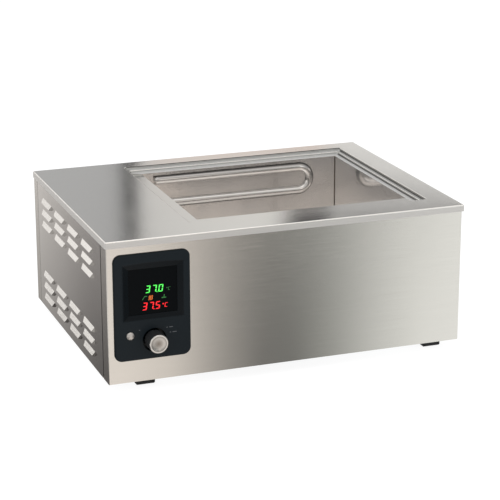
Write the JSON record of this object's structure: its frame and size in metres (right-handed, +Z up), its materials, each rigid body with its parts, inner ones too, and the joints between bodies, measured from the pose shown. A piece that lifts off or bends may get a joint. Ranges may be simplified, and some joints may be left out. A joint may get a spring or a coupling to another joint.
{
  "type": "sous vide water bath",
  "caption": "Low box-shaped heated water bath with a rectangular tank in its deck, a control panel at the front left, side louvres and a drain tap behind",
  "frame": {"origin": "on the floor, under the middle of the whole outline (knob, louvres and drain tap included)", "axes": "+X to the right as the controls are faced, +Y from the front panel to the back, +Z up"},
  "size_m": [0.5808, 0.5116, 0.238],
  "materials": {
    "brushed_stainless": "brushed along the length, satin",
    "tank_stainless": "smooth rolled stainless, half bright",
    "sheet_zinc": "zinc-plated sheet and fixings",
    "foot_rubber": "matt black rubber",
    "heater_sheath": "drawn stainless tube",
    "mineral_mat": "needled mineral-fibre mat",
    "black_plastic": "fine-grained black moulding",
    "display_window": "smoked clear window, polished",
    "circuit_board": "green solder resist",
    "light_plastic": "natural nylon",
    "bright_metal": "bright turned metal",
    "transformer_iron": "varnished laminations and winding",
    "heat_sink_aluminium": "extruded, plain",
    "lead_insulation": "silicone-covered leads",
    "nickel_brass": "nickel-plated brass",
    "lever_steel": "plated steel strap"
  },
  "bodies": {
    "case": {"base_plate": "sheet_zinc", "bay_wall": "sheet_zinc", "board_screws": "sheet_zinc", "board_standoffs": "light_plastic", "control_bezel": "black_plastic", "control_board": "circuit_board", "display_module": "black_plastic", "display_window": "display_window", "drain_nuts": "nickel_brass", "drain_pipe": "nickel_brass", "foot_fasteners": "sheet_zinc", "foot_front_left": "foot_rubber", "foot_front_right": "foot_rubber", "foot_rear_left": "foot_rubber", "foot_rear_right": "foot_rubber", "front_panel": "brushed_stainless", "fuse_drawer": "black_plastic", "heat_sink": "heat_sink_aluminium", "heater_leads": "lead_insulation", "heater_plate": "sheet_zinc", "heater_relay": "black_plastic", "hose_spigot": "nickel_brass", "insulation_floor": "mineral_mat", "insulation_front": "mineral_mat", "insulation_left": "mineral_mat", "insulation_rear": "mineral_mat", "insulation_right": "mineral_mat", "left_side_panel": "brushed_stainless", "limiter_probe": "heater_sheath", "main_switch": "black_plastic", "mains_board": "circuit_board", "mains_inlet": "black_plastic", "mains_leads": "lead_insulation", "rear_heater": "heater_sheath", "rear_panel": "brushed_stainless", "rear_panel_screws": "sheet_zinc", "ribbon_cable": "lead_insulation", "right_side_panel": "brushed_stainless", "safety_thermostat": "black_plastic", "sensor_lead": "lead_insulation", "sensor_pockets": "heater_sheath", "tactile_switch": "black_plastic", "tank": "tank_stainless", "temperature_sensor": "heater_sheath", "terminal_block": "light_plastic", "top_deck": "brushed_stainless", "transformer": "transformer_iron", "triac": "black_plastic", "valve_body": "nickel_brass", "wall_grommet": "foot_rubber"},
    "main_switch_slide": {"switch_sleeve": "heater_sheath"},
    "control_knob": {"encoder_shaft": "heater_sheath", "control_knob": "black_plastic", "knob_cap": "bright_metal"},
    "set_button": {"set_button": "bright_metal"},
    "drain_handle": {"valve_ball": "nickel_brass", "valve_stem": "heater_sheath", "drain_lever": "lever_steel", "lever_grip": "black_plastic", "lever_nut": "heater_sheath"}
  },
  "joints": [
    {"name": "knob_push", "type": "slide", "parent": "case", "child": "main_switch_slide", "axis": [0, 1, 0], "range_m": [0, 0.007]},
    {"name": "knob_turn", "type": "hinge", "parent": "main_switch_slide", "child": "control_knob", "pos_m": [-0.2156, -0.2438, 0.081], "axis": [0, 1, 0], "continuous": true},
    {"name": "button_press", "type": "slide", "parent": "case", "child": "set_button", "axis": [0, 1, 0], "range_m": [0, 0.0012], "stiffness_N_per_m": 1500, "springref_m": -0.0004},
    {"name": "drain_lever_turn", "type": "hinge", "parent": "case", "child": "drain_handle", "pos_m": [0.2024, 0.2218, 0.052], "axis": [0, 0, -1], "range_deg": [0, 90]}
  ]
}
